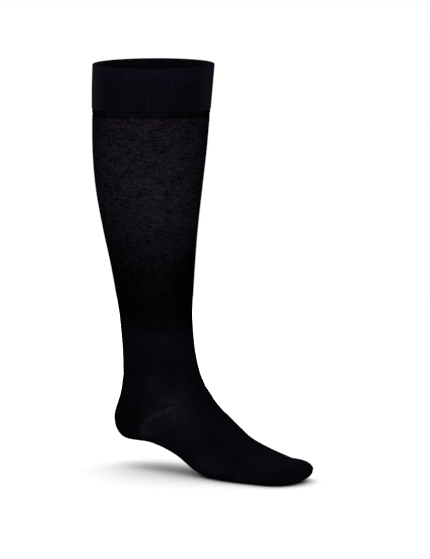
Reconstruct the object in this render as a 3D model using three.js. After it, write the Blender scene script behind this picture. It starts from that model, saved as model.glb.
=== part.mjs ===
// A knee-high compression stocking, knitted in the round, filled out as on a leg and standing on the
// ball of the foot with the heel raised. Millimetres, +Z up, +X towards the toe. The origin is the
// centre of the leg opening, level with the band's top edge, where the calf holds the stocking up.

import * as THREE from "three";

// Driving dimensions
const BAND_PROUD = 0.5; // the doubled band stands this far outside the leg's knit
const BAND_EDGE_ROLL = 0.8; // how far the band's folded top edge rounds off on each face
const SEAM_GAP = 0.3; // between two knitted zones
const FLOOR = -426; // the level that the ball and the toes stand on
const TOE_LENGTH = 36; // from the last section in the table to the tip of the toe
const TOE_TIP_RISE = 0.5; // how far the tip lies above the middle of that last section
const TOE_ROUND = { side: 2.3, plan: 2.2 }; // powers of the toe's outline from the side and above
const WALL = { band: 2.4, leg: 1.2, ankle: 1.3, heel: 1.6, foot: 1.3, toe: 1.6 };
const AROUND = 40; // steps around the tube

// Sections of the tube from the opening to the toe. front is the X and Z of the section's point on
// the shin, the instep or the top of the toes, and back those of its point on the calf, the heel or
// the sole. halfWidth is half its width across, boxy the power of its outline (2 is an ellipse) and
// flare the share by which its back or sole is wider than its middle, and its front narrower.
const SECTIONS = [
  { name: "rim", front: [62.6, 0], back: [-62.6, 0], halfWidth: 65, boxy: 2, flare: 0 },
  { name: "mid band", front: [60.8, -24], back: [-63.8, -24], halfWidth: 63.7, boxy: 2, flare: 0.01 },
  { name: "band foot", front: [59, -46], back: [-64.1, -46], halfWidth: 62.5, boxy: 2, flare: 0.02 },
  { name: "calf", front: [55.2, -90], back: [-64.6, -90], halfWidth: 60.1, boxy: 2, flare: 0.03 },
  { name: "low calf", front: [50.7, -131], back: [-62, -131], halfWidth: 55.4, boxy: 2, flare: 0.03 },
  { name: "taper", front: [46.8, -173], back: [-55, -173], halfWidth: 48.4, boxy: 2, flare: 0.03 },
  { name: "low taper", front: [44.6, -214], back: [-46.6, -214], halfWidth: 41.2, boxy: 2, flare: 0.02 },
  { name: "high ankle", front: [43, -256], back: [-39.5, -256], halfWidth: 35.3, boxy: 2, flare: 0 },
  { name: "splice", front: [44, -276], back: [-37.1, -275], halfWidth: 33.6, boxy: 2, flare: 0 },
  { name: "ankle", front: [48, -304], back: [-34.9, -302], halfWidth: 32.5, boxy: 2, flare: 0 },
  { name: "low ankle", front: [56.5, -330], back: [-34.6, -326], halfWidth: 32.6, boxy: 2.05, flare: 0 },
  { name: "heel line", front: [74, -353], back: [-37.8, -348], halfWidth: 33.2, boxy: 2.15, flare: 0 },
  { name: "heel back", front: [84.5, -361.5], back: [-45.6, -377], halfWidth: 33.6, boxy: 2.35, flare: 0 },
  { name: "heel base", front: [92, -367], back: [-33, -396.5], halfWidth: 34, boxy: 2.4, flare: 0 },
  { name: "heel front", front: [97.5, -372], back: [5, -399.5], halfWidth: 34.6, boxy: 2.3, flare: 0 },
  { name: "arch", front: [104.5, -377.5], back: [38.5, -409.5], halfWidth: 36, boxy: 2.2, flare: 0.03 },
  { name: "low arch", front: [115, -385], back: [70, -425.5], halfWidth: 38.5, boxy: 2.2, flare: 0.08 },
  { name: "ball", front: [132, -393], back: [103, -429.5], halfWidth: 40.5, boxy: 2.3, flare: 0.1 },
  { name: "toe root", front: [147, -398.5], back: [135, -429.5], halfWidth: 39.5, boxy: 2.4, flare: 0.08 },
  { name: "toe base", front: [160, -402.5], back: [154, -429], halfWidth: 38, boxy: 2.4, flare: 0.05 },
];

// Where each knitted zone starts or ends, as a place in rows of the table
const placeOf = (name) => SECTIONS.findIndex((section) => section.name === name);
const BAND_END = placeOf("band foot");
const LEG_END = placeOf("splice"); // the ankle is spliced with a second yarn from here down
const ANKLE_END = placeOf("heel line");
const TOE_START = placeOf("toe root") - 0.35; // the cap reaches back over the toes' roots
const TOE_TIP = SECTIONS.length; // the toe's dome is one more step past the last row

// The heel pocket is knitted on the back two thirds of the tube, so it comes to a point at each side
// of the ankle. Its lower edge lies in a plane through both points and this place on the sole.
const HEEL_POINT = THREE.MathUtils.degToRad(62); // the points' angle around from the instep
const HEEL_SOLE = new THREE.Vector3(34, 0, -409);

// A value from the table at a place between two rows, on a smooth curve through them all. pick
// takes the value from a row.
function smooth(pick, place) {
  const last = SECTIONS.length - 1;
  const low = Math.min(Math.floor(place), last - 1);
  const value = (index) => pick(SECTIONS[THREE.MathUtils.clamp(index, 0, last)]);
  const slope = (index) => {
    const inside = index > 0 && index < last;
    return (value(index + 1) - value(index - 1)) / (inside ? 2 : 1);
  };
  const t = place - low;
  const start = value(low) * (2 * t ** 3 - 3 * t ** 2 + 1) + slope(low) * (t ** 3 - 2 * t ** 2 + t);
  const end = value(low + 1) * (3 * t ** 2 - 2 * t ** 3) + slope(low + 1) * (t ** 3 - t ** 2);
  return start + end;
}

// The section at a place: its middle and half depth in the XZ plane, half width and outline. Past
// the last row the sections close up into the toe's dome.
function sectionAt(place) {
  const inTable = Math.min(place, SECTIONS.length - 1);
  const front = [0, 1].map((axis) => smooth((row) => row.front[axis], inTable));
  const back = [0, 1].map((axis) => smooth((row) => row.back[axis], inTable));
  const section = {
    middle: new THREE.Vector2((front[0] + back[0]) / 2, (front[1] + back[1]) / 2),
    halfDepth: new THREE.Vector2((front[0] - back[0]) / 2, (front[1] - back[1]) / 2),
    halfWidth: smooth((row) => row.halfWidth, inTable),
    boxy: smooth((row) => row.boxy, inTable),
    flare: smooth((row) => row.flare, inTable),
  };
  const along = Math.sin(((place - inTable) * Math.PI) / 2);
  section.middle.x += TOE_LENGTH * along;
  section.middle.y += TOE_TIP_RISE * along;
  section.halfDepth.multiplyScalar((1 - along ** TOE_ROUND.side) ** (1 / TOE_ROUND.side));
  section.halfWidth *= (1 - along ** TOE_ROUND.plan) ** (1 / TOE_ROUND.plan);
  return section;
}

// A point of the tube's outer surface. angle is 0 on the shin and instep, pi on the calf and sole.
function surface(place, angle) {
  const { middle, halfDepth, halfWidth, boxy, flare } = sectionAt(place);
  const rounded = (value) => Math.sign(value) * Math.abs(value) ** (2 / boxy);
  const towardsFront = rounded(Math.cos(angle));
  return new THREE.Vector3(
    middle.x + halfDepth.x * towardsFront,
    halfWidth * rounded(Math.sin(angle)) * (1 - flare * towardsFront),
    Math.max(middle.y + halfDepth.y * towardsFront, FLOOR),
  );
}

// The outward direction of the surface, from points a little to each side.
function outward(place, angle) {
  const small = 0.004;
  const middle = THREE.MathUtils.clamp(place, small, TOE_TIP - 2 * small);
  const along = surface(middle + small, angle).sub(surface(middle - small, angle));
  const round = surface(middle, angle + small).sub(surface(middle, angle - small));
  return along.cross(round).normalize();
}

// A point of the cloth that lies out millimetres outside the surface.
function cloth(place, angle, out) {
  if (place >= TOE_TIP) {
    const tip = sectionAt(TOE_TIP).middle;
    return new THREE.Vector3(tip.x + out, 0, tip.y);
  }
  return surface(place, angle).addScaledVector(outward(place, angle), out);
}

// The place that lies some millimetres further along the cloth at this angle.
function further(place, angle, millimetres) {
  const step = 0.01;
  const pace = surface(place + step, angle).distanceTo(surface(place, angle)) / step;
  return place + millimetres / pace;
}

// The lower edge of the heel pocket at an angle within it, found by halving.
function heelEdge(angle) {
  const point = surface(ANKLE_END, HEEL_POINT);
  const downTheEdge = new THREE.Vector3(HEEL_SOLE.x - point.x, 0, HEEL_SOLE.z - point.z);
  const forwards = new THREE.Vector3(-downTheEdge.z, 0, downTheEdge.x);
  let low = ANKLE_END;
  let high = TOE_START;
  for (let step = 0; step < 30; step++) {
    const middle = (low + high) / 2;
    if (surface(middle, angle).sub(point).dot(forwards) < 0) low = middle;
    else high = middle;
  }
  return low;
}

const onHeelSide = (angle) => Math.abs(angle - Math.PI) < Math.PI - HEEL_POINT;

// One knitted zone as a closed wall. start(angle) and end(angle) are its edges. outer(share) and
// inner(share) say how far out its two faces lie, where share runs from 0 at its start to 1 at its
// end. angles lists the steps around, and a closed zone joins the last to the first. With dome, the
// zone ends in a point on each face instead of an edge.
function knittedWall({ start, end, rows, outer, inner, angles, closed = true, dome = false }) {
  const rings = dome ? rows : rows + 1;
  const points = [];
  const corners = { outer: [], inner: [] };
  for (const [face, offset] of Object.entries({ outer, inner })) {
    for (let i = 0; i < rings; i++) {
      const share = i / rows;
      corners[face][i] = angles.map((angle) => {
        const place = THREE.MathUtils.lerp(start(angle), end(angle), share);
        return points.push(cloth(place, angle, offset(share))) - 1;
      });
    }
    if (dome) corners[face].tip = points.push(cloth(TOE_TIP, 0, offset(1))) - 1;
  }

  const triangles = [];
  const quad = (a, b, c, d) => triangles.push(a, b, c, a, c, d);
  const { outer: out, inner: within } = corners;
  const steps = closed ? angles.length : angles.length - 1;
  const last = rings - 1;
  for (let j = 0; j < steps; j++) {
    const k = (j + 1) % angles.length;
    for (let i = 0; i < last; i++) {
      quad(out[i][j], out[i + 1][j], out[i + 1][k], out[i][k]);
      quad(within[i][j], within[i][k], within[i + 1][k], within[i + 1][j]);
    }
    quad(out[0][j], out[0][k], within[0][k], within[0][j]);
    if (dome) {
      triangles.push(out[last][j], out.tip, out[last][k]);
      triangles.push(within[last][j], within[last][k], within.tip);
    } else {
      quad(out[last][k], out[last][j], within[last][j], within[last][k]);
    }
  }
  if (!closed) {
    const side = angles.length - 1;
    for (let i = 0; i < last; i++) {
      quad(out[i][0], within[i][0], within[i + 1][0], out[i + 1][0]);
      quad(out[i][side], out[i + 1][side], within[i + 1][side], within[i][side]);
    }
  }

  const geometry = new THREE.BufferGeometry();
  geometry.setFromPoints(points);
  geometry.setIndex(triangles);
  geometry.computeVertexNormals();
  return geometry;
}

// Equal steps all round the tube, with the first on the instep.
const allRound = Array.from({ length: AROUND }, (_, step) => (2 * Math.PI * step) / AROUND);

function knit(name, geometry, colour) {
  const material = new THREE.MeshStandardMaterial({ color: colour, roughness: 0.92, metalness: 0 });
  const mesh = new THREE.Mesh(geometry, material);
  mesh.name = name;
  return mesh;
}

// The doubled elastic band around the top, folded over at its top edge.
function topBand() {
  const edge = (share) => BAND_EDGE_ROLL * Math.max(0, 1 - 10 * share) ** 2;
  const geometry = knittedWall({
    start: () => 0,
    end: () => BAND_END,
    rows: 10,
    outer: (share) => BAND_PROUD - edge(share),
    inner: (share) => BAND_PROUD - WALL.band + edge(share),
    angles: allRound,
  });
  return knit("top_band", geometry, 0x0b0b14);
}

// The leg, from the band to the splice above the ankle.
function leg() {
  const geometry = knittedWall({
    start: (angle) => further(BAND_END, angle, SEAM_GAP),
    end: () => LEG_END,
    rows: 18,
    outer: () => 0,
    inner: () => -WALL.leg,
    angles: allRound,
  });
  return knit("leg", geometry, 0x151318);
}

// The spliced ankle, down to the course where the heel pocket starts.
function ankle() {
  const geometry = knittedWall({
    start: (angle) => further(LEG_END, angle, SEAM_GAP),
    end: () => ANKLE_END,
    rows: 7,
    outer: () => 0,
    inner: () => -WALL.ankle,
    angles: allRound,
  });
  return knit("ankle", geometry, 0x09080d);
}

// The pocket that turns the tube from the leg to the foot. It stops just short of its two points,
// where it would have no width.
function heel() {
  const steps = 26;
  const blunt = THREE.MathUtils.degToRad(2.5);
  const first = HEEL_POINT + blunt;
  const turn = 2 * (Math.PI - first);
  const geometry = knittedWall({
    start: (angle) => further(ANKLE_END, angle, SEAM_GAP),
    end: (angle) => further(heelEdge(angle), angle, -SEAM_GAP / 2),
    rows: 12,
    outer: () => 0,
    inner: () => -WALL.heel,
    angles: Array.from({ length: steps + 1 }, (_, step) => first + (turn * step) / steps),
    closed: false,
  });
  return knit("heel", geometry, 0x08080b);
}

// The instep and the sole, from the ankle and the heel pocket to the toe.
function foot() {
  const geometry = knittedWall({
    start: (angle) => {
      if (onHeelSide(angle)) return further(heelEdge(angle), angle, SEAM_GAP / 2);
      return further(ANKLE_END, angle, SEAM_GAP);
    },
    end: (angle) => further(TOE_START, angle, -SEAM_GAP),
    rows: 16,
    outer: () => 0,
    inner: () => -WALL.foot,
    angles: allRound,
  });
  return knit("foot", geometry, 0x0c0a11);
}

// The closed cap over the toes.
function toe() {
  const geometry = knittedWall({
    start: () => TOE_START,
    end: () => TOE_TIP,
    rows: 12,
    outer: () => 0,
    inner: () => -WALL.toe,
    angles: allRound,
    dome: true,
  });
  return knit("toe", geometry, 0x0a0a10);
}

const stocking = new THREE.Group();
stocking.add(topBand(), leg(), ankle(), heel(), foot(), toe());

export default stocking;
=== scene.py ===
import math
from collections import namedtuple

import bmesh
import bpy
import numpy as np
from mathutils import Matrix, Vector


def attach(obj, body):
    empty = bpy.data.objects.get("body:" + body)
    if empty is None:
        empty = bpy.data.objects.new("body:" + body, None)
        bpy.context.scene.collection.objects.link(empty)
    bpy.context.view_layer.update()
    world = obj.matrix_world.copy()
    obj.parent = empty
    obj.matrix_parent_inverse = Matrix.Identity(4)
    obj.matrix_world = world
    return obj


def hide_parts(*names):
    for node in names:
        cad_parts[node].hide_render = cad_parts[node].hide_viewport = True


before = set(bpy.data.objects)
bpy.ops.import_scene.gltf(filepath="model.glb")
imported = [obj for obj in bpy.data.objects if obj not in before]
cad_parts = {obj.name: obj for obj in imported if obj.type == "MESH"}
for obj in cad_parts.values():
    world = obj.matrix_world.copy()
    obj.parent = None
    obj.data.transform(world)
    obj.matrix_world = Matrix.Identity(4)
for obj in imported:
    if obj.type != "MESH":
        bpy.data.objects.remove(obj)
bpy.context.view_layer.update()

# Camera: it looks at the stocking's outer side from a little above, from far enough away that the
# leg's upright sides stay upright. Sizes are in metres, as everywhere in this file.
VIEW_AZIMUTH = math.radians(36)
VIEW_ELEVATION = math.radians(7.5)
VIEW_DISTANCE = 5.0
SHIN_POINT = Vector((0.020, 0, -0.210))  # the eye's distance is measured from here
PICTURE_WIDTH = 0.4504  # across the whole picture, at the shin point's distance
AIM_RIGHT = 0.0478  # the picture's centre lies this far to the right of the shin point
AIM_BELOW = 0.0160
VIEW_REACH = 100  # nothing farther off is drawn

view_right = Vector((math.cos(VIEW_AZIMUTH), math.sin(VIEW_AZIMUTH), 0))
view_back = Vector((
    math.sin(VIEW_AZIMUTH) * math.cos(VIEW_ELEVATION),
    -math.cos(VIEW_AZIMUTH) * math.cos(VIEW_ELEVATION),
    math.sin(VIEW_ELEVATION),
))
view_up = view_back.cross(view_right)
eye = SHIN_POINT + VIEW_DISTANCE * view_back
aim = SHIN_POINT + AIM_RIGHT * view_right - AIM_BELOW * view_up

camera_data = bpy.data.cameras.new("camera")
camera_data.sensor_fit = "HORIZONTAL"
camera_data.lens = camera_data.sensor_width * VIEW_DISTANCE / PICTURE_WIDTH
camera_data.clip_end = VIEW_REACH
camera = bpy.data.objects.new("camera", camera_data)
camera.location = eye
camera.rotation_euler = (eye - aim).to_track_quat("Z", "Y").to_euler()
bpy.context.scene.collection.objects.link(camera)
bpy.context.scene.camera = camera
bpy.context.scene.view_settings.view_transform = "Standard"

# Studio light: a soft front light beside the camera, its weaker pair behind the stocking, a soft light
# overhead, and a very wide one over the table, flagged off the stocking, that alone makes the shadow.
FRONT_LIGHT = dict(azimuth=35, elevation=8, distance=2.6, size=0.6, watts=70)
BACK_LIGHT = dict(azimuth=216, elevation=12, distance=2.6, size=1.0, watts=34)
TOP_LIGHT = dict(azimuth=36, elevation=84, distance=1.9, size=1.0, watts=10)
TABLE_LIGHT = dict(azimuth=216, elevation=67, distance=1.2, size=4.5, watts=121)
SKY_WHITE = 1.0  # how strong the white surroundings look straight on
SKY_GLOW = 0.04  # the share of the white surroundings that lights the stocking


def softbox(name, azimuth, elevation, distance, size, watts):
    """A square soft light that points at the stocking's middle from an azimuth and elevation."""
    turn, lift = math.radians(azimuth), math.radians(elevation)
    away = Vector((math.sin(turn) * math.cos(lift), -math.cos(turn) * math.cos(lift), math.sin(lift)))
    light = bpy.data.lights.new(name, "AREA")
    light.shape = "SQUARE"
    light.size = size
    light.energy = watts
    lamp = bpy.data.objects.new(name, light)
    lamp.location = SHIN_POINT + distance * away
    lamp.rotation_euler = away.to_track_quat("Z", "Y").to_euler()
    lamp.visible_camera = False
    bpy.context.scene.collection.objects.link(lamp)
    return lamp


stocking_lamps = [
    softbox("front_light", **FRONT_LIGHT),
    softbox("back_light", **BACK_LIGHT),
    softbox("top_light", **TOP_LIGHT),
]
table_lamp = softbox("table_light", **TABLE_LIGHT)

world = bpy.data.worlds.new("white_surroundings")
world.use_nodes = True
world_nodes, world_links = world.node_tree.nodes, world.node_tree.links
sky = world_nodes["Background"]
sky.inputs["Color"].default_value = (1, 1, 1, 1)
seen_straight = world_nodes.new("ShaderNodeLightPath")
sky_strength = world_nodes.new("ShaderNodeMapRange")
sky_strength.inputs["To Min"].default_value = SKY_GLOW
sky_strength.inputs["To Max"].default_value = SKY_WHITE
world_links.new(seen_straight.outputs["Is Camera Ray"], sky_strength.inputs["Value"])
world_links.new(sky_strength.outputs["Result"], sky.inputs["Strength"])
bpy.context.scene.world = world

# Floor: a round white table top, level with the ball of the foot. Under the stocking its white is all
# lamp light, so the heel's shadow is soft. Farther out its own glow is added, so its edge runs into the
# white behind.
FLOOR_HEIGHT = -0.4262
FLOOR_RADIUS = 1.3
FLOOR_SEGMENTS = 96
FLOOR_WHITE = 0.9
FLOOR_DIM = 0.06  # as it lights the stocking
GLOW_NEAR = 0.0
GLOW_FAR = 1.0
GLOW_RISE = (0.25, 0.6)  # how far from the leg the glow starts to rise, and where it is full

floor_mesh = bpy.data.meshes.new("floor")
bm = bmesh.new()
bmesh.ops.create_circle(bm, cap_ends=True, segments=FLOOR_SEGMENTS, radius=FLOOR_RADIUS)
bmesh.ops.translate(bm, verts=bm.verts, vec=(0, 0, FLOOR_HEIGHT))
bm.to_mesh(floor_mesh)
bm.free()
floor = bpy.data.objects.new("floor", floor_mesh)
bpy.context.scene.collection.objects.link(floor)

lit_by_table_light = bpy.data.collections.new("lit_by_table_light")
lit_by_table_light.objects.link(floor)
table_lamp.light_linking.receiver_collection = lit_by_table_light
not_lit_by_others = bpy.data.collections.new("not_lit_by_others")
not_lit_by_others.objects.link(floor)
not_lit_by_others.collection_objects[0].light_linking.link_state = "EXCLUDE"
for lamp in stocking_lamps:
    lamp.light_linking.receiver_collection = not_lit_by_others

table_white = bpy.data.materials.new("table_white")
table_white.use_nodes = True
table_nodes, table_links = table_white.node_tree.nodes, table_white.node_tree.links
table_nodes.clear()
lit_white = table_nodes.new("ShaderNodeBsdfDiffuse")
lit_white.inputs["Color"].default_value = (FLOOR_WHITE, FLOOR_WHITE, FLOOR_WHITE, 1)
own_glow = table_nodes.new("ShaderNodeEmission")
table_place = table_nodes.new("ShaderNodeTexCoord")
from_leg = table_nodes.new("ShaderNodeVectorMath")
from_leg.operation = "LENGTH"
flat_place = table_nodes.new("ShaderNodeVectorMath")
flat_place.operation = "MULTIPLY"
flat_place.inputs[1].default_value = (1, 1, 0)
glow_rise = table_nodes.new("ShaderNodeMapRange")
glow_rise.interpolation_type = "SMOOTHSTEP"
for socket, value in zip(("From Min", "From Max", "To Min", "To Max"), (*GLOW_RISE, GLOW_NEAR, GLOW_FAR)):
    glow_rise.inputs[socket].default_value = value
bright_table = table_nodes.new("ShaderNodeAddShader")
dim_table = table_nodes.new("ShaderNodeBsdfDiffuse")
dim_table.inputs["Color"].default_value = (FLOOR_DIM, FLOOR_DIM, FLOOR_DIM, 1)
table_path = table_nodes.new("ShaderNodeLightPath")
table_mix = table_nodes.new("ShaderNodeMixShader")
table_out = table_nodes.new("ShaderNodeOutputMaterial")
table_links.new(table_place.outputs["Object"], flat_place.inputs[0])
table_links.new(flat_place.outputs["Vector"], from_leg.inputs[0])
table_links.new(from_leg.outputs["Value"], glow_rise.inputs["Value"])
table_links.new(glow_rise.outputs["Result"], own_glow.inputs["Strength"])
table_links.new(lit_white.outputs[0], bright_table.inputs[0])
table_links.new(own_glow.outputs[0], bright_table.inputs[1])
table_links.new(table_path.outputs["Is Camera Ray"], table_mix.inputs["Fac"])
table_links.new(dim_table.outputs[0], table_mix.inputs[1])
table_links.new(bright_table.outputs[0], table_mix.inputs[2])
table_links.new(table_mix.outputs[0], table_out.inputs["Surface"])
floor_mesh.materials.append(table_white)

# Top band: an elastic band of doubled navy knit. The tube's first courses are knitted twice as long
# as the band is high, turned over at the top edge and linked on to the leg at the bottom.
BAND_PROUD = 0.0005  # the band stands this far outside the leg
BAND_THICKNESS = 0.0022  # of both layers and the space between them
BAND_WALL = 0.0004  # of each layer
BAND_UNEVEN = 0.0012  # its lower edge rises this much in front and behind, and dips at the sides
BAND_TUCK = 0.0006  # radius of the lower edge, where it turns in to the linking
BAND_HEIGHT = 0.046
BAND_ROWS = (30, 10, 44, 5)  # mesh rows of the inner face, the fold, the outer face and the tucked edge
BAND_NAVY = (9.3, 9.5, 16.6)
BAND_SHADES = [  # from the inner face's foot, over the fold at 0.047, down the outer face
    # the inner face is painted lighter than the outer knit: painted light, for the little light that
    # reaches inside
    (0.0, (12, 10.8, 17)),
    (0.0440, (12, 10.8, 17)),
    (0.0500, (12.7, 12.6, 22.8)),
    (0.0640, (9.7, 9.8, 17.2)),
    (0.0800, BAND_NAVY),
]
NEAR_SIDE = VIEW_AZIMUTH - math.pi / 2  # the side of the tube that faces the camera
AROUND = 180  # mesh steps around the tube
WALES = 320  # columns of stitches around the tube
COURSE = 0.0009  # height of a row of stitches
STITCH_SLANT = 1.6  # the courses that a leg of a stitch would slant over a whole wale
STITCH_ROUND = 0.6  # power that fills out the yarn's round
STITCH_MEAN = 0.45  # a stitch's mean height, where 1 is its top
STITCH_CONTRAST = 0.9  # how much darker the gaps between the yarns are
LIGHT_RARE = 3  # power of a stitch's chance, so that few are light
LIGHT_MEAN = 0.25  # the mean of that
LIGHT_GAIN = 2.2  # makes up for the stitch's mean height
DARKEST = 0.15  # no yarn's brightness falls below this share
DASHES = (0.13, 0.65)  # scales of unevenness around the tube and along it: dashes along the courses
CLOUDS = (0.08, 0.08)  # slow changes of the yarn
WALE_RIBS = (0.7, 0.05)
BORDER_WANDER = (0.25, 0.05)
YARN_ROUGHNESS = 0.9
SHEEN_ROUGHNESS = 0.4

# The form that the stocking is filled out to, from the opening to the toe. front is the X and Z of a
# section's point on the shin, instep or top of the toes, and back of its point on the calf, heel or
# sole. half_width is half its width, boxy the power of its outline (2 is an ellipse) and flare the
# share by which its back or sole is wider than its middle, and its front narrower.
Section = namedtuple("Section", "name front back half_width boxy flare")
FORM = [
    Section("rim", (0.0626, 0), (-0.0626, 0), 0.065, 2, 0),
    Section("mid band", (0.0608, -0.024), (-0.0638, -0.024), 0.0637, 2, 0.01),
    Section("band foot", (0.059, -0.046), (-0.0641, -0.046), 0.0625, 2, 0.02),
    Section("calf", (0.0552, -0.09), (-0.0646, -0.09), 0.0601, 2, 0.03),
    Section("low calf", (0.0507, -0.131), (-0.062, -0.131), 0.0554, 2, 0.03),
    Section("taper", (0.0468, -0.173), (-0.055, -0.173), 0.0484, 2, 0.03),
    Section("low taper", (0.0446, -0.214), (-0.0466, -0.214), 0.0412, 2, 0.02),
    Section("high ankle", (0.043, -0.256), (-0.0395, -0.256), 0.0353, 2, 0),
    Section("splice", (0.044, -0.276), (-0.0371, -0.275), 0.0336, 2, 0),
    Section("ankle", (0.048, -0.304), (-0.0349, -0.302), 0.0325, 2, 0),
    Section("low ankle", (0.0565, -0.33), (-0.0346, -0.326), 0.0326, 2.05, 0),
    Section("heel line", (0.074, -0.353), (-0.0378, -0.348), 0.0332, 2.15, 0),
    Section("heel back", (0.0845, -0.3615), (-0.0456, -0.377), 0.0336, 2.35, 0),
    Section("heel base", (0.092, -0.367), (-0.033, -0.3965), 0.034, 2.4, 0),
    Section("heel front", (0.0975, -0.372), (0.005, -0.3995), 0.0346, 2.3, 0),
    Section("arch", (0.1045, -0.3775), (0.0385, -0.4095), 0.036, 2.2, 0.03),
    Section("low arch", (0.115, -0.385), (0.07, -0.4255), 0.0385, 2.2, 0.08),
    Section("ball", (0.132, -0.393), (0.103, -0.4295), 0.0405, 2.3, 0.1),
    Section("toe root", (0.147, -0.3985), (0.135, -0.4295), 0.0395, 2.4, 0.08),
    Section("toe base", (0.16, -0.4025), (0.154, -0.429), 0.038, 2.4, 0.05),
]
FORM_NAMES = [section.name for section in FORM]
FORM_TABLE = np.array([[*s.front, *s.back, s.half_width, s.boxy, s.flare] for s in FORM])
FORM_SLOPES = np.gradient(FORM_TABLE, axis=0)
LAST_SECTION = len(FORM) - 1
TOE_TIP = len(FORM)  # the toe's dome is one more step past the last section
TOE_LENGTH = 0.036
TOE_TIP_RISE = 0.0005
TOE_ROUND_SIDE = 2.3
TOE_ROUND_PLAN = 2.2
STAND = -0.426  # what the ball and the toes stand on
LEG_END = FORM_NAMES.index("splice")
ANKLE_END = FORM_NAMES.index("heel line")
TOE_START = FORM_NAMES.index("toe root") - 0.35  # about a third of a section before the toe root
LENGTH_SAMPLES = 80  # points along a length of cloth, to measure it
LEG_SAMPLES = 400  # points down the leg, to find a depth
NEARLY = 1e-6  # what rounding may leave between equal numbers


def surface(place, angle):
    """Points of the filled-out form. place counts sections, and angle is 0 on the shin and instep."""
    in_table = np.minimum(place, LAST_SECTION)
    low = np.minimum(in_table.astype(int), LAST_SECTION - 1)
    t = (in_table - low)[:, None]
    start = FORM_TABLE[low] * (2 * t**3 - 3 * t**2 + 1) + FORM_SLOPES[low] * (t**3 - 2 * t**2 + t)
    end = FORM_TABLE[low + 1] * (3 * t**2 - 2 * t**3) + FORM_SLOPES[low + 1] * (t**3 - t**2)
    front_x, front_z, back_x, back_z, half_width, boxy, flare = (start + end).T
    along = np.sin(np.clip(place - in_table, 0, 1) * math.pi / 2)
    shallower = (1 - along**TOE_ROUND_SIDE) ** (1 / TOE_ROUND_SIDE)
    narrower = (1 - along**TOE_ROUND_PLAN) ** (1 / TOE_ROUND_PLAN)
    forward, aside = np.cos(angle), np.sin(angle)
    forward = np.sign(forward) * np.abs(forward) ** (2 / boxy)
    aside = np.sign(aside) * np.abs(aside) ** (2 / boxy)
    x = (front_x + back_x) / 2 + TOE_LENGTH * along + (front_x - back_x) / 2 * shallower * forward
    y = half_width * narrower * aside * (1 - flare * forward)
    z = (front_z + back_z) / 2 + TOE_TIP_RISE * along + (front_z - back_z) / 2 * shallower * forward
    return np.stack([x, y, np.maximum(z, STAND)], axis=1)


def directions(place, angle):
    """Unit vectors down the form, around it and out of it."""
    small = 0.004
    inner_place = np.clip(place, small, TOE_TIP - 2 * small)
    down = surface(inner_place + small, angle) - surface(inner_place - small, angle)
    around = surface(inner_place, angle + small) - surface(inner_place, angle - small)
    outward = np.cross(down, around)
    return [v / np.linalg.norm(v, axis=1, keepdims=True) for v in (down, around, outward)]


def cloth(place, angle, out):
    """Points that lie some way out from the form, square to it."""
    return surface(place, angle) + directions(place, angle)[2] * np.asarray(out)[:, None]


def places_along(angle, start, end, share):
    """The place at a share of the cloth's length from start to end, for each angle."""
    samples = np.linspace(0, 1, LENGTH_SAMPLES)
    places = start[:, None] + (end - start)[:, None] * samples
    points = surface(places.ravel(), np.repeat(angle, LENGTH_SAMPLES)).reshape(*places.shape, 3)
    steps = np.linalg.norm(np.diff(points, axis=1), axis=2)
    lengths = np.concatenate([np.zeros((len(angle), 1)), np.cumsum(steps, axis=1)], axis=1)
    lengths /= np.maximum(lengths[:, -1:], 1e-9)
    found = [np.interp(s, row, where) for s, row, where in zip(share, lengths, places)]
    return np.array(found)


def knit_piece(name, rows, around, shape, material):
    """A knitted sheet: a grid of rows by steps around, which shape puts in place. shape takes shares
    of the length and of the turn. It gives each point, its place in the knit, which is the share of the
    wales around and the distance down them, and a factor on its yarn's brightness, which carries
    painted highlight and shade, where 1 is plain."""
    bm = bmesh.new()
    bmesh.ops.create_grid(bm, x_segments=rows, y_segments=around, size=0.5)
    bm.verts.index_update()
    grid = np.array([vert.co[:2] for vert in bm.verts]) + 0.5  # from 0 to 1 each way
    points, stitches, pale = shape(grid[:, 0], grid[:, 1])
    knit_map = bm.loops.layers.uv.new("Knit")
    for face in bm.faces:
        face.smooth = True
        for loop in face.loops:
            loop[knit_map].uv = stitches[loop.vert.index]
    paleness_with_painted_light = bm.verts.layers.float.new("pale")
    for vert, point, share in zip(bm.verts, points, pale):
        vert.co = point
        vert[paleness_with_painted_light] = share
    bmesh.ops.remove_doubles(bm, verts=bm.verts, dist=NEARLY)
    for edge in bm.edges:
        edge.smooth = not edge.is_boundary
    mesh = bpy.data.meshes.new(name)
    bm.to_mesh(mesh)
    bm.free()
    mesh.materials.append(material)
    piece = bpy.data.objects.new(name, mesh)
    bpy.context.scene.collection.objects.link(piece)
    return piece


def give_wall(piece, thickness):
    """Thickens a sheet inwards to the knit's own thickness."""
    wall = piece.modifiers.new("wall", "SOLIDIFY")
    wall.thickness = thickness
    wall.offset = -1


def dye(red, green, blue):
    """The shader's colour for a yarn that shows as this red, green and blue, from 0 to 255."""
    shown = np.array([red, green, blue]) / 255
    linear = np.where(shown <= 0.04045, shown / 12.92, ((shown + 0.055) / 1.055) ** 2.4)
    return (*linear.tolist(), 1)


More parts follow.
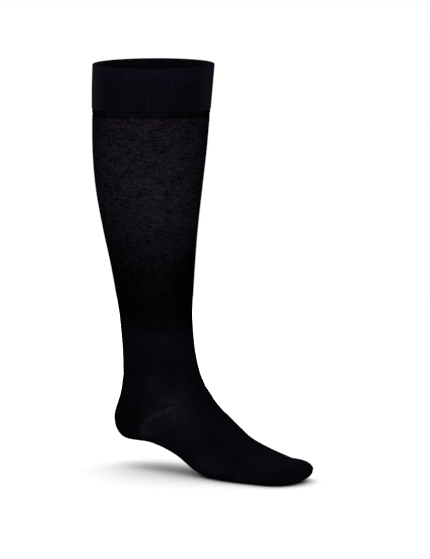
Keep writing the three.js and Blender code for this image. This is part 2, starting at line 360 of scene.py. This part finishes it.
def knit_material(name, length, shades, flecks, streaks, ribs, relief, sheen, sheen_tint, wander=0.0):
    """A knitted cloth of a length down its wales. shades are its colours at distances along it, flecks
    the strength of its light stitches, streaks that of uneven yarn along the courses, ribs that of
    uneven wales and relief the height of a stitch. sheen is the yarn's soft gloss, and wander moves
    the borders between shades up and down."""
    material = bpy.data.materials.new(name)
    material.use_nodes = True
    nodes, links = material.node_tree.nodes, material.node_tree.links

    def math_node(operation, *values):
        node = nodes.new("ShaderNodeMath")
        node.operation = operation
        for socket, value in zip(node.inputs, values):
            if isinstance(value, bpy.types.NodeSocket):
                links.new(value, socket)
            else:
                socket.default_value = value
        return node.outputs[0]

    knit_map = nodes.new("ShaderNodeUVMap")
    knit_map.uv_map = "Knit"
    stitch = nodes.new("ShaderNodeSeparateXYZ")
    links.new(knit_map.outputs["UV"], stitch.inputs[0])
    turn, distance = stitch.outputs["X"], stitch.outputs["Y"]
    wale = math_node("MULTIPLY", turn, WALES)
    course = math_node("MULTIPLY", distance, 1 / COURSE)

    # The two legs of each stitch slant down to the middle of its wale
    across = math_node("ABSOLUTE", math_node("SUBTRACT", math_node("FRACT", wale), 0.5))
    side_of_leg = math_node("SINE", math_node("MULTIPLY", across, 2 * math.pi))
    slanted_course = math_node("MULTIPLY_ADD", across, STITCH_SLANT, course)
    along_leg = math_node("FRACT", slanted_course)
    over_leg = math_node("SINE", math_node("MULTIPLY", along_leg, math.pi))
    yarn_round = math_node("POWER", over_leg, STITCH_ROUND)
    stitch_height = math_node("MULTIPLY", side_of_leg, yarn_round)

    # Places on the tube in stitches, so that uneven yarn has no join at the back
    on_tube = nodes.new("ShaderNodeCombineXYZ")
    angle = math_node("MULTIPLY", turn, 2 * math.pi)
    girth = WALES / (2 * math.pi)
    links.new(math_node("MULTIPLY", math_node("COSINE", angle), girth), on_tube.inputs["X"])
    links.new(math_node("MULTIPLY", math_node("SINE", angle), girth), on_tube.inputs["Y"])
    links.new(course, on_tube.inputs["Z"])

    def uneven(scale_around, scale_along):
        mapping = nodes.new("ShaderNodeMapping")
        mapping.inputs["Scale"].default_value = (scale_around, scale_around, scale_along)
        noise = nodes.new("ShaderNodeTexNoise")
        noise.inputs["Scale"].default_value = 1
        links.new(on_tube.outputs[0], mapping.inputs["Vector"])
        links.new(mapping.outputs[0], noise.inputs["Vector"])
        return math_node("SUBTRACT", noise.outputs["Fac"], 0.5)

    one_stitch = nodes.new("ShaderNodeCombineXYZ")
    links.new(math_node("FLOOR", wale), one_stitch.inputs["X"])
    links.new(math_node("FLOOR", slanted_course), one_stitch.inputs["Y"])
    chance = nodes.new("ShaderNodeTexWhiteNoise")
    chance.noise_dimensions = "2D"
    links.new(one_stitch.outputs[0], chance.inputs["Vector"])
    light_chance = math_node("POWER", chance.outputs["Value"], LIGHT_RARE)
    light_stitch = math_node("SUBTRACT", light_chance, LIGHT_MEAN)
    light_yarn = math_node("MULTIPLY", light_stitch, math_node("MULTIPLY", stitch_height, LIGHT_GAIN))

    brightness = math_node("MULTIPLY_ADD", light_yarn, flecks, 1)
    brightness = math_node("MULTIPLY_ADD", uneven(*DASHES), streaks, brightness)
    brightness = math_node("MULTIPLY_ADD", uneven(*CLOUDS), streaks / 2, brightness)
    brightness = math_node("MULTIPLY_ADD", uneven(*WALE_RIBS), ribs, brightness)
    above_mean = math_node("SUBTRACT", stitch_height, STITCH_MEAN)
    brightness = math_node("MULTIPLY_ADD", above_mean, STITCH_CONTRAST, brightness)
    # The pieces' brightness factor: painted highlight and shade, and the gore line's darker seam
    pale = nodes.new("ShaderNodeAttribute")
    pale.attribute_name = "pale"
    brightness = math_node("MULTIPLY", math_node("MAXIMUM", brightness, DARKEST), pale.outputs["Fac"])

    ramp = nodes.new("ShaderNodeValToRGB")
    stops = ramp.color_ramp.elements
    stops.remove(stops[1])
    for index, (start, colour) in enumerate(shades):
        stop = stops[0] if index == 0 else stops.new(start / length)
        stop.position = start / length
        stop.color = dye(*colour)
    shifted = math_node("MULTIPLY_ADD", uneven(*BORDER_WANDER), wander, distance)
    links.new(math_node("MULTIPLY", shifted, 1 / length), ramp.inputs["Fac"])

    coloured = nodes.new("ShaderNodeVectorMath")
    coloured.operation = "SCALE"
    links.new(ramp.outputs["Color"], coloured.inputs[0])
    links.new(brightness, coloured.inputs["Scale"])

    raised = nodes.new("ShaderNodeBump")
    raised.inputs["Distance"].default_value = relief
    links.new(stitch_height, raised.inputs["Height"])

    yarn = nodes["Principled BSDF"]
    yarn.inputs["Roughness"].default_value = YARN_ROUGHNESS
    yarn.inputs["Specular IOR Level"].default_value = 0
    yarn.inputs["Sheen Weight"].default_value = sheen
    yarn.inputs["Sheen Roughness"].default_value = SHEEN_ROUGHNESS
    yarn.inputs["Sheen Tint"].default_value = sheen_tint
    links.new(coloured.outputs[0], yarn.inputs["Base Color"])
    links.new(raised.outputs[0], yarn.inputs["Normal"])
    return material


def at_depth(depth):
    """The place on the form at a depth below the opening, on the upright leg."""
    places = np.linspace(0, LEG_END, LEG_SAMPLES)
    return np.interp(depth, -surface(places, np.zeros(LEG_SAMPLES))[:, 2], places)


def band_foot(angle):
    """How far the band's lower edge lies below the opening."""
    return BAND_HEIGHT - BAND_UNEVEN * np.cos(2 * (angle - NEAR_SIDE))


def band_shape(share, turn):
    """Up the inner face, over the fold, down the outer face and in to the linking."""
    angle = 2 * math.pi * turn
    depth = band_foot(angle)
    row = share * sum(BAND_ROWS)
    inner_end, fold_end, outer_end, _ = np.cumsum(BAND_ROWS)
    inner = np.clip(row / BAND_ROWS[0], 0, 1)
    fold = math.pi * np.clip((row - inner_end) / BAND_ROWS[1], 0, 1)
    outer = np.clip((row - fold_end) / BAND_ROWS[2], 0, 1)
    tuck = math.pi / 2 * np.clip((row - outer_end) / BAND_ROWS[3], 0, 1)
    radius = BAND_THICKNESS / 2
    up = (depth - radius) * inner
    down = (depth - radius - BAND_TUCK) * outer
    below = depth - up - radius * np.sin(fold) + down + BAND_TUCK * np.sin(tuck)
    out = BAND_PROUD - radius - radius * np.cos(fold) - BAND_TUCK * (1 - np.cos(tuck))
    along_cloth = up + radius * fold + down + BAND_TUCK * tuck
    stitches = np.stack([turn, along_cloth], axis=1)
    return cloth(at_depth(below), angle, out), stitches, np.ones(len(turn))


navy_band = knit_material(
    "navy_band", length=0.1, shades=BAND_SHADES, flecks=0.7, streaks=0.6, ribs=0.7,
    relief=0.00008, sheen=0.026, sheen_tint=(0.57, 0.58, 1, 1),
)
band = knit_piece("band_cloth", sum(BAND_ROWS), AROUND, band_shape, navy_band)
give_wall(band, BAND_WALL)
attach(band, "root")
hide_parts("top_band")

# Linking: the chain of slanted stitches that closes the band's lower edge on to the leg, in the band's
# own yarn, sewn by a linking machine all the way round.
LINKING_STITCHES = 200
LINKING_BELOW = 0.0002  # under the band's lower edge
LINKING_OUT = -0.0003
LINKING_STITCH = (0.00115, 0.00042, 0.00034)  # half its length, width and thickness
LINKING_SLANT = math.radians(24)
LINKING_NAVY = (9, 9, 14)
BEAD_STEPS = (8, 5)  # mesh steps around and along a stitch
FIBRE_SCALE = 2600
FIBRE_LIGHTS = (0.6, 1.4)  # the yarn's darkest and lightest fibres
FIBRE_RELIEF = 0.00005


def stitch_row(name, points, lengthwise, outward, half_size, material):
    """A row of single stitches, each a plump bead of yarn that lies along lengthwise on the cloth."""
    bm = bmesh.new()
    for point, long_way, out_way in zip(points, lengthwise, outward):
        out_way, long_way = Vector(out_way), Vector(long_way).normalized()
        side_way = out_way.cross(long_way).normalized()
        turned = Matrix((long_way, side_way, long_way.cross(side_way))).transposed().to_4x4()
        put = Matrix.Translation(Vector(point)) @ turned @ Matrix.Diagonal((*half_size, 1))
        bmesh.ops.create_uvsphere(
            bm, u_segments=BEAD_STEPS[0], v_segments=BEAD_STEPS[1], radius=1, matrix=put,
        )
    for face in bm.faces:
        face.smooth = True
    mesh = bpy.data.meshes.new(name)
    bm.to_mesh(mesh)
    bm.free()
    mesh.materials.append(material)
    piece = bpy.data.objects.new(name, mesh)
    bpy.context.scene.collection.objects.link(piece)
    return piece


def yarn_material(name, colour):
    """A single twisted yarn of one colour, with fine fibres."""
    material = bpy.data.materials.new(name)
    material.use_nodes = True
    nodes, links = material.node_tree.nodes, material.node_tree.links
    place = nodes.new("ShaderNodeTexCoord")
    fibre = nodes.new("ShaderNodeTexNoise")
    fibre.inputs["Scale"].default_value = FIBRE_SCALE
    links.new(place.outputs["Object"], fibre.inputs["Vector"])
    shade = nodes.new("ShaderNodeValToRGB")
    for stop, light in zip(shade.color_ramp.elements, FIBRE_LIGHTS):
        stop.color = (*(light * c for c in dye(*colour)[:3]), 1)
    links.new(fibre.outputs["Fac"], shade.inputs["Fac"])
    raised = nodes.new("ShaderNodeBump")
    raised.inputs["Distance"].default_value = FIBRE_RELIEF
    links.new(fibre.outputs["Fac"], raised.inputs["Height"])
    yarn = nodes["Principled BSDF"]
    yarn.inputs["Roughness"].default_value = YARN_ROUGHNESS
    yarn.inputs["Specular IOR Level"].default_value = 0
    links.new(shade.outputs["Color"], yarn.inputs["Base Color"])
    links.new(raised.outputs[0], yarn.inputs["Normal"])
    return material


linked_at = np.linspace(0, 2 * math.pi, LINKING_STITCHES, endpoint=False)
linking_place = at_depth(band_foot(linked_at) + LINKING_BELOW)
linking_down, linking_around, linking_out = directions(linking_place, linked_at)
linking = stitch_row(
    "linking_stitches", cloth(linking_place, linked_at, np.full(LINKING_STITCHES, LINKING_OUT)),
    linking_around * math.cos(LINKING_SLANT) - linking_down * math.sin(LINKING_SLANT), linking_out,
    LINKING_STITCH, yarn_material("linking_yarn", LINKING_NAVY),
)
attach(linking, "root")

# Leg: heathered knit of black and violet-grey yarn in one tube, knitted on from the band. Just under
# the band are the after-welt's courses of plain black, pulled in by the linking, with painted shade
# under the band's edge and in their grooves. It gets denser and darker towards the ankle, where the
# stocking grips hardest.
LEG_WALL = 0.0009
LEG_LENGTH = 0.2315
LEG_HIDDEN = 0.0015  # its first courses lie inside the band's lower edge
AFTER_WELT = 0.016  # height of the finely meshed part under the band
AFTER_WELT_ROWS = 40
LEG_ROWS = 110
LEG_SHADES = [
    # the after-welt's lines: dark just under the band's edge and in the grooves, partly plain black knit
    # and partly painted shade; the light line lies on the ridge between them
    (0.0, (6, 6, 9)),
    (0.0035, (7, 7, 10)),
    (0.0045, (15, 14, 18)),
    (0.0056, (7, 6, 9)),
    (0.0080, (7, 6, 9)),
    (0.0095, (19.5, 16.9, 22.3)),
    (0.0145, (23, 19, 25)),
    (0.0180, (20.5, 17.8, 23.5)),
    (0.0900, (21.5, 19.3, 24.8)),
    (0.1150, (19.2, 17.5, 22.4)),
    (0.1460, (12.2, 11.4, 15.7)),
    (0.1750, (6.4, 6.4, 7.7)),
    (0.2110, (4.6, 4.5, 5.6)),
    (0.2180, (5.1, 4.9, 6.5)),
    (0.2315, (6.6, 6.1, 9.1)),
]
WELT_FORMS = [  # how far below the band, how wide and how far out
    (0.0006, 0.0009, -0.0003),
    (0.0028, 0.0009, 0.0002),
    (0.0058, 0.0013, -0.00035),
    (0.0132, 0.0010, 0.0001),
]
WELT_WAVES = [(23, 0, 0.0005), (37, 1, 0.00035)]  # how many round the leg, their start and height
WELT_STRAIGHT = 0.005  # the band holds the lines nearer to it than this straight


Crease = namedtuple("Crease", "place angle wide around depth slant")
CREASES = [  # soft troughs: across the instep's bend, above the heel, and slack over the shin and calf
    Crease(10.3, 0.15, 0.12, 0.70, 0.0006, 0.05),
    Crease(11.0, -0.20, 0.14, 0.60, 0.0008, -0.08),
    Crease(11.9, 0.10, 0.28, 0.55, 0.0006, 0.10),
    Crease(9.2, 2.70, 0.20, 0.60, 0.0005, 0.12),
    Crease(10.1, -2.80, 0.16, 0.70, 0.0005, -0.10),
    Crease(7.3, -0.60, 0.50, 0.45, 0.0005, 0.60),
    Crease(5.2, 2.10, 0.45, 0.40, 0.0005, 0.40),
    Crease(15.6, 1.20, 0.40, 0.50, 0.0006, 0.30),
    Crease(15.9, -1.30, 0.35, 0.45, 0.0005, -0.40),
]


def creases(place, angle):
    """How far the form's creases lie out from it, which is inwards."""
    out = np.zeros(len(place))
    for crease in CREASES:
        aside = np.angle(np.exp(1j * (angle - crease.angle)))
        off_line = (place - crease.place - crease.slant * aside) / crease.wide
        out -= crease.depth * np.exp(-(off_line**2) - (aside / crease.around) ** 2)
    return out


# Painted highlights and painted shade: the knit is painted lighter where light falls on the calf, the
# ankle bone, the heel's side and the foot's upper and lower edges, and darker at the sides of the leg and
# ankle and at the back of the ankle.
PaintedLightPatch = namedtuple("PaintedLightPatch", "x y z reach paler")
PAINTED_LIGHT_PATCHES = [  # painted highlight and shade, each round a point; both sides alike
    PaintedLightPatch(0.050, 0.028, -0.054, 0.025, -0.15),
    PaintedLightPatch(0.034, 0.030, -0.180, 0.022, 0.12),
    PaintedLightPatch(0.032, 0.028, -0.212, 0.022, 0.20),
    PaintedLightPatch(0.032, 0.027, -0.240, 0.022, 0.12),
    PaintedLightPatch(0.044, 0.007, -0.205, 0.016, -0.42),
    PaintedLightPatch(0.043, 0.007, -0.230, 0.016, -0.48),
    PaintedLightPatch(0.044, 0.007, -0.255, 0.016, -0.32),
    PaintedLightPatch(0.000, 0.036, -0.222, 0.020, -0.18),
    PaintedLightPatch(0.003, 0.033, -0.248, 0.018, -0.24),
    PaintedLightPatch(-0.020, 0.052, -0.140, 0.025, -0.10),
    PaintedLightPatch(-0.008, 0.047, -0.176, 0.020, -0.18),
    PaintedLightPatch(-0.034, 0.010, -0.338, 0.030, -0.35),
    PaintedLightPatch(0.002, 0.031, -0.322, 0.015, -0.24),
    PaintedLightPatch(0.038, 0.022, -0.316, 0.014, -0.14),
    PaintedLightPatch(0.043, 0.031, -0.358, 0.017, 1.45),
    PaintedLightPatch(0.055, 0.028, -0.352, 0.016, 0.12),
    PaintedLightPatch(0.019, 0.033, -0.334, 0.010, 0.75),
    PaintedLightPatch(0.019, 0.034, -0.366, 0.010, 1.00),
    PaintedLightPatch(0.014, 0.034, -0.383, 0.012, 1.30),
    PaintedLightPatch(0.066, 0.032, -0.378, 0.017, 0.45),
    PaintedLightPatch(0.095, 0.031, -0.388, 0.012, -0.22),
    PaintedLightPatch(0.096, 0.038, -0.408, 0.015, 0.60),
    PaintedLightPatch(0.110, 0.006, -0.382, 0.016, 0.22),
    PaintedLightPatch(0.130, 0.012, -0.394, 0.016, 0.18),
    PaintedLightPatch(0.116, 0.040, -0.416, 0.012, 0.35),
]


def paleness_with_painted_light(points):
    """The knit's painted highlight and shade at each point, as a factor on its brightness, from the
    patches near it.
    """
    pale = np.ones(len(points))
    for patch in PAINTED_LIGHT_PATCHES:
        off = points * (1, 0, 1) + np.abs(points) * (0, 1, 0) - (patch.x, patch.y, patch.z)
        pale += patch.paler * np.exp(-(off**2).sum(axis=1) / patch.reach**2)
    return pale


def leg_shape(share, turn):
    """From inside the band's foot, over the after-welt, down to the splice."""
    angle = 2 * math.pi * turn
    top = band_foot(angle) - LEG_HIDDEN
    rows = share * (AFTER_WELT_ROWS + LEG_ROWS)
    welt_share = AFTER_WELT / LEG_LENGTH
    in_welt = np.clip(rows / AFTER_WELT_ROWS, 0, 1)
    in_leg = np.clip((rows - AFTER_WELT_ROWS) / LEG_ROWS, 0, 1)
    length_share = welt_share * in_welt + (1 - welt_share) * in_leg
    end = np.full(len(angle), float(LEG_END))
    place = places_along(angle, at_depth(top), end, length_share)
    under_band = length_share * LEG_LENGTH - LEG_HIDDEN
    wave = sum(high * np.sin(count * angle + start) for count, start, high in WELT_WAVES)
    out = creases(place, angle)
    for below, width, height in WELT_FORMS:
        out += height * np.exp(-(((under_band - below - wave * (below > WELT_STRAIGHT)) / width) ** 2))
    stitches = np.stack([turn, length_share * LEG_LENGTH], axis=1)
    points = cloth(place, angle, out)
    return points, stitches, paleness_with_painted_light(points)


heather = knit_material(
    "heather_leg", length=LEG_LENGTH, shades=LEG_SHADES, flecks=1.5, streaks=2.3, ribs=0.35,
    relief=0.0001, sheen=0.0, sheen_tint=(0.8, 0.75, 1, 1), wander=0.0012,
)
leg = knit_piece("leg_cloth", AFTER_WELT_ROWS + LEG_ROWS, AROUND, leg_shape, heather)
give_wall(leg, LEG_WALL)
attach(leg, "root")
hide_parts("leg")

# Ankle: the same tube, knitted on from the leg with a second, dark violet yarn spliced in, so the cloth
# is denser and plainer there. The second yarn comes in over a few courses, so the border is soft.
ANKLE_WALL = 0.001
ANKLE_LENGTH = 0.078
ANKLE_ROWS = 44
SPLICE_VIOLET = (9.0, 8.1, 13.3)
LOW_VIOLET = (8.7, 7.8, 12.8)
ANKLE_SHADES = [  # its first courses still take up the leg's darker yarn
    (0.0, (7.2, 6.5, 10.2)),
    (0.0095, (10.0, 8.9, 14.5)),
    (0.0240, SPLICE_VIOLET),
    (ANKLE_LENGTH, LOW_VIOLET),
]


def ankle_shape(share, turn):
    """From the splice down to the heel pocket and the instep."""
    angle = 2 * math.pi * turn
    start = np.full(len(angle), float(LEG_END))
    end = np.full(len(angle), float(ANKLE_END))
    place = places_along(angle, start, end, share)
    points = cloth(place, angle, creases(place, angle))
    return points, np.stack([turn, share * ANKLE_LENGTH], axis=1), paleness_with_painted_light(points)


spliced = knit_material(
    "spliced_ankle", length=ANKLE_LENGTH, shades=ANKLE_SHADES,
    flecks=0.9, streaks=0.9, ribs=0.9, relief=0.0001, sheen=0.004, sheen_tint=(0.6, 0.6, 1, 1),
)
ankle = knit_piece("ankle_cloth", ANKLE_ROWS, AROUND, ankle_shape, spliced)
give_wall(ankle, ANKLE_WALL)
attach(ankle, "root")
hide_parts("ankle")

# Heel: a pocket knitted to and fro on the back two thirds of the needles, in reinforced black yarn.
# Its courses get shorter down to the gore line, then longer again to the foot, and the two halves are
# caught together along that line.
HEEL_POINT = math.radians(62)  # where the pocket comes to a point at each side, from the instep
HEEL_SOLE = Vector((0.034, 0, -0.409))  # its front edge under the foot
HEEL_WALL = 0.0013
HEEL_STEPS = 118
HEEL_ROWS = 30  # in each half
HEEL_LENGTH = 0.1
EDGE_SEARCHES = 30  # halvings that find the pocket's front edge
POCKET_SAMPLES = 40
GORE_LINE = [  # degrees from the back, and the share of the pocket that lies above the line
    (0, 0.58), (45, 0.68), (56, 0.68), (64, 0.60), (73, 0.52), (82, 0.39), (91, 0.30), (100, 0.28),
    (118, 0.30),
]
GORE_DRAWN_IN = 0.0004
GORE_WIDTH = 0.0016
GORE_DARK = 0.3
GORE_HIGHLIGHT = 0.4  # painted highlight on the first courses below the line
GORE_HIGHLIGHT_AT = 0.0035
GORE_HIGHLIGHT_WIDTH = 0.0026
GORE_SAMPLES = 600
GORE_STITCHES = 150
GORE_STITCH = (0.0009, 0.00032, 0.00028)
GORE_SLANT = math.radians(20)
GORE_BLACK = (6.5, 6.2, 9)
CUP_CUT = (0.130, 0.075)
HEEL_TURN_CUT = (0.130, 0.045)
CUP_BLACK = (6.3, 6.1, 8.4)
# the heel turn next to the gore line is painted lighter than the foot: a painted highlight, fading down
# to the foot's colour
HEEL_TURN_HIGHLIGHT_VIOLET = (9.8, 9, 13.6)
CUP_SHADES = [(0, LOW_VIOLET), (0.02, CUP_BLACK)]
HEEL_TURN_SHADES = [(0, HEEL_TURN_HIGHLIGHT_VIOLET), (HEEL_LENGTH, LOW_VIOLET)]


def foot_line(angle):
    """The place of the pocket's front edge, in the plane through its two points and its sole edge."""
    point = Vector(surface(np.array([float(ANKLE_END)]), np.array([HEEL_POINT]))[0])
    down_the_edge = (HEEL_SOLE.x - point.x, HEEL_SOLE.z - point.z)
    forwards = np.array([-down_the_edge[1], 0, down_the_edge[0]])
    low = np.full(len(angle), float(ANKLE_END))
    high = np.full(len(angle), float(TOE_START))
    for _ in range(EDGE_SEARCHES):
        middle = (low + high) / 2
        behind = (surface(middle, angle) - np.array(point)) @ forwards < 0
        low = np.where(behind, middle, low)
        high = np.where(behind, high, middle)
    return low


def pocket_length(angle, start, end):
    """The cloth's length down the pocket at each angle."""
    samples = np.linspace(0, 1, POCKET_SAMPLES)
    places = start[:, None] + (end - start)[:, None] * samples
    points = surface(places.ravel(), np.repeat(angle, POCKET_SAMPLES)).reshape(*places.shape, 3)
    return np.linalg.norm(np.diff(points, axis=1), axis=2).sum(axis=1)


def gore_share(angle):
    """The share of the pocket that lies above the gore line."""
    return np.interp(np.degrees(np.abs(angle - math.pi)), *zip(*GORE_LINE))


def heel_half(first_half):
    """The shape of the pocket above the gore line, or of the half below it."""
    def shape(share, turn):
        angle = HEEL_POINT + 2 * (math.pi - HEEL_POINT) * turn
        start = np.full(len(angle), float(ANKLE_END))
        end = foot_line(angle)
        gore = gore_share(angle)
        length_share = gore * share if first_half else gore + (1 - gore) * share
        place = places_along(angle, start, end, length_share)
        length = pocket_length(angle, start, end)
        from_gore = np.abs(length_share - gore) * length
        by_gore = np.exp(-((from_gore / GORE_WIDTH) ** 2))
        # painted highlight on the first courses below the gore line
        highlighted = 0 if first_half else np.exp(-(((from_gore - GORE_HIGHLIGHT_AT) / GORE_HIGHLIGHT_WIDTH) ** 2))
        points = cloth(place, angle, creases(place, angle) - GORE_DRAWN_IN * by_gore)
        down = length_share * length if first_half else HEEL_LENGTH - (1 - length_share) * length
        stitches = np.stack([angle / (2 * math.pi), down], axis=1)
        pale = paleness_with_painted_light(points) * (1 - GORE_DARK * by_gore + GORE_HIGHLIGHT * highlighted)
        return points, stitches, pale
    return shape


reinforced = knit_material(
    "reinforced_heel", length=HEEL_LENGTH, shades=CUP_SHADES,
    flecks=0.8, streaks=0.9, ribs=0.4, relief=0.00012, sheen=0.003, sheen_tint=(0.6, 0.6, 1, 1),
)
heel_light = knit_material(
    "heel_turn", length=HEEL_LENGTH, shades=HEEL_TURN_SHADES,
    flecks=1.0, streaks=1.2, ribs=0.4, relief=0.00012, sheen=0.004, sheen_tint=(0.6, 0.6, 1, 1),
)
cup = knit_piece("heel_cup_cloth", HEEL_ROWS, HEEL_STEPS, heel_half(True), reinforced)
heel_turn = knit_piece("heel_turn_cloth", HEEL_ROWS, HEEL_STEPS, heel_half(False), heel_light)
for half, cut in ((cup, CUP_CUT), (heel_turn, HEEL_TURN_CUT)):
    give_wall(half, HEEL_WALL)
    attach(half, "root")
    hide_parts("heel")

gore_angle = np.linspace(HEEL_POINT, 2 * math.pi - HEEL_POINT, GORE_SAMPLES)
gore_start = np.full(len(gore_angle), float(ANKLE_END))
gore_place = places_along(gore_angle, gore_start, foot_line(gore_angle), gore_share(gore_angle))
gore_steps = np.linalg.norm(np.diff(surface(gore_place, gore_angle), axis=0), axis=1)
gore_length = np.concatenate([[0], np.cumsum(gore_steps)])
stitched_at = np.linspace(0, gore_length[-1], GORE_STITCHES + 2)[1:-1]
gore_angle, gore_place = (np.interp(stitched_at, gore_length, line) for line in (gore_angle, gore_place))
gore_points = cloth(gore_place, gore_angle, np.full(GORE_STITCHES, -GORE_DRAWN_IN / 2))
gore_out = directions(gore_place, gore_angle)[2]
along_gore = np.gradient(gore_points, axis=0)
along_gore /= np.linalg.norm(along_gore, axis=1, keepdims=True)
across_gore = np.cross(gore_out, along_gore)
gore = stitch_row(
    "gore_stitches", gore_points,
    across_gore * math.cos(GORE_SLANT) + along_gore * math.sin(GORE_SLANT), gore_out,
    GORE_STITCH, yarn_material("gore_yarn", GORE_BLACK),
)
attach(gore, "root")

# Foot: instep and sole in one, plain knit in the spliced violet. Knitting goes on in the round from the
# ankle's front needles and the heel pocket's edge, as far as the toe.
FOOT_WALL = 0.001
FOOT_LENGTH = 0.092
FOOT_ROWS = 70
FOOT_VIOLET = (8.4, 7.6, 12.3)
BALL_VIOLET = (7.9, 7.4, 12.4)
FOOT_SHADES = [(0, LOW_VIOLET), (0.02, FOOT_VIOLET), (FOOT_LENGTH, BALL_VIOLET)]


def foot_shape(share, turn):
    """From the ankle in front and the heel pocket behind, forwards to the toe."""
    angle = 2 * math.pi * turn
    start = np.full(len(angle), float(ANKLE_END))
    on_heel = np.abs(angle - math.pi) < math.pi - HEEL_POINT + NEARLY
    start[on_heel] = foot_line(angle[on_heel])
    end = np.full(len(angle), float(TOE_START))
    place = places_along(angle, start, end, share)
    points = cloth(place, angle, creases(place, angle))
    return points, np.stack([turn, share * FOOT_LENGTH], axis=1), paleness_with_painted_light(points)


foot_knit = knit_material(
    "violet_foot", length=FOOT_LENGTH, shades=FOOT_SHADES,
    flecks=0.9, streaks=0.9, ribs=0.4, relief=0.0001, sheen=0.006, sheen_tint=(0.6, 0.6, 1, 1),
)
foot = knit_piece("foot_cloth", FOOT_ROWS, AROUND, foot_shape, foot_knit)
give_wall(foot, FOOT_WALL)
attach(foot, "root")
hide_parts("foot")

# Toe: a closed cap of smoother, reinforced navy knit. Its last courses are linked flat across the top
# of the toes, stitch to stitch, which leaves a low ridge.
TOE_WALL = 0.0013
TOE_LONG = 0.066
TOE_ROWS = 60
TOE_NAVY = (7.5, 7.2, 12.5)
TOE_SHADES = [(0, (7.5, 7.0, 11.9)), (0.022, (6.8, 6.6, 11.3)), (0.042, TOE_NAVY)]
TOE_SEAM_PLACE = 19.62
TOE_SEAM_WIDTH = 0.035
TOE_SEAM_HEIGHT = 0.0003
TOE_SEAM_FADE = 3  # how quickly the ridge fades at the sides
TOE_STITCHES = 52
TOE_STITCH = (0.0011, 0.0004, 0.0003)
TOE_SLANT = math.radians(24)
TOE_YARN_NAVY = (7.5, 7.7, 12.8)
TOE_SEAM_END = math.radians(84)  # how far round from the top the seam runs
TOE_POINT = surface(np.array([float(TOE_TIP)]), np.array([0.0]))[0]


def toe_shape(share, turn):
    """From the foot over the linked ridge to the closed tip."""
    angle = 2 * math.pi * turn
    start = np.full(len(angle), float(TOE_START))
    end = np.full(len(angle), float(TOE_TIP))
    place = places_along(angle, start, end, share)
    on_top = np.clip(np.cos(angle) * TOE_SEAM_FADE, 0, 1)
    seam = TOE_SEAM_HEIGHT * np.exp(-(((place - TOE_SEAM_PLACE) / TOE_SEAM_WIDTH) ** 2)) * on_top
    points = cloth(place, angle, seam)
    points[share > 1 - NEARLY] = TOE_POINT
    return points, np.stack([turn, share * TOE_LONG], axis=1), np.ones(len(turn))


toe_knit = knit_material(
    "navy_toe", length=TOE_LONG, shades=TOE_SHADES, flecks=0.4, streaks=0.4, ribs=0.25,
    relief=0.00015, sheen=0.015, sheen_tint=(0.52, 0.58, 1, 1),
)
toe = knit_piece("toe_cloth", TOE_ROWS, AROUND, toe_shape, toe_knit)
give_wall(toe, TOE_WALL)
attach(toe, "root")
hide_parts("toe")

seam_angle = np.linspace(-TOE_SEAM_END, TOE_SEAM_END, TOE_STITCHES)
seam_place = np.full(TOE_STITCHES, TOE_SEAM_PLACE)
seam_down, seam_around, seam_out = directions(seam_place, seam_angle)
toe_seam = stitch_row(
    "toe_seam_stitches", cloth(seam_place, seam_angle, np.full(TOE_STITCHES, TOE_SEAM_HEIGHT / 2)),
    seam_around * math.cos(TOE_SLANT) - seam_down * math.sin(TOE_SLANT), seam_out,
    TOE_STITCH, yarn_material("toe_yarn", TOE_YARN_NAVY),
)
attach(toe_seam, "root")
